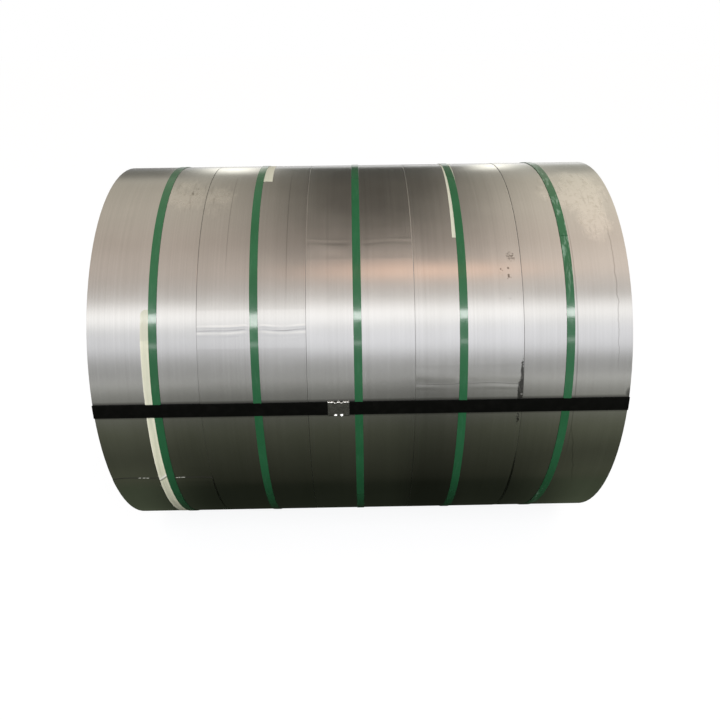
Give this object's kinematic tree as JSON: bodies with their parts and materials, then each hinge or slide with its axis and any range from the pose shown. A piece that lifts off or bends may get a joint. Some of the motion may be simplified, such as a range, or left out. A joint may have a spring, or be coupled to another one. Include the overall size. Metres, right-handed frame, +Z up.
{
  "type": "strapped bundle of slit steel coils",
  "caption": "Bundle of slit galvanized steel coils lying side by side on one axis, each with a plastic band round it and all held by a sealed steel strap through the eye.",
  "frame": {"origin": "on the floor, under the middle of the bundle's length and width", "axes": "+X along the coils' axis to the viewer's right, -Y to the front, +Z up"},
  "size_m": [1.2516, 1.0145, 1.0105],
  "materials": {
    "zinc": "bright hot-dip zinc with fine rolling lines",
    "green_band": "smooth glossy extruded band",
    "paper_tape": "matt crepe paper",
    "black_strap": "black painted steel, semi-gloss",
    "seal_steel": "dull zinc-plated sheet"
  },
  "bodies": {
    "root": {"slit_coil_1": "zinc", "slit_coil_2": "zinc", "slit_coil_3": "zinc", "slit_coil_4": "zinc", "slit_coil_5": "zinc", "band_1": "green_band", "band_2": "green_band", "band_3": "green_band", "band_4": "green_band", "band_5": "green_band", "tape_1": "paper_tape", "tape_2": "paper_tape", "tape_4": "paper_tape", "eye_strap": "black_strap", "strap_seal": "seal_steel"}
  },
  "joints": []
}
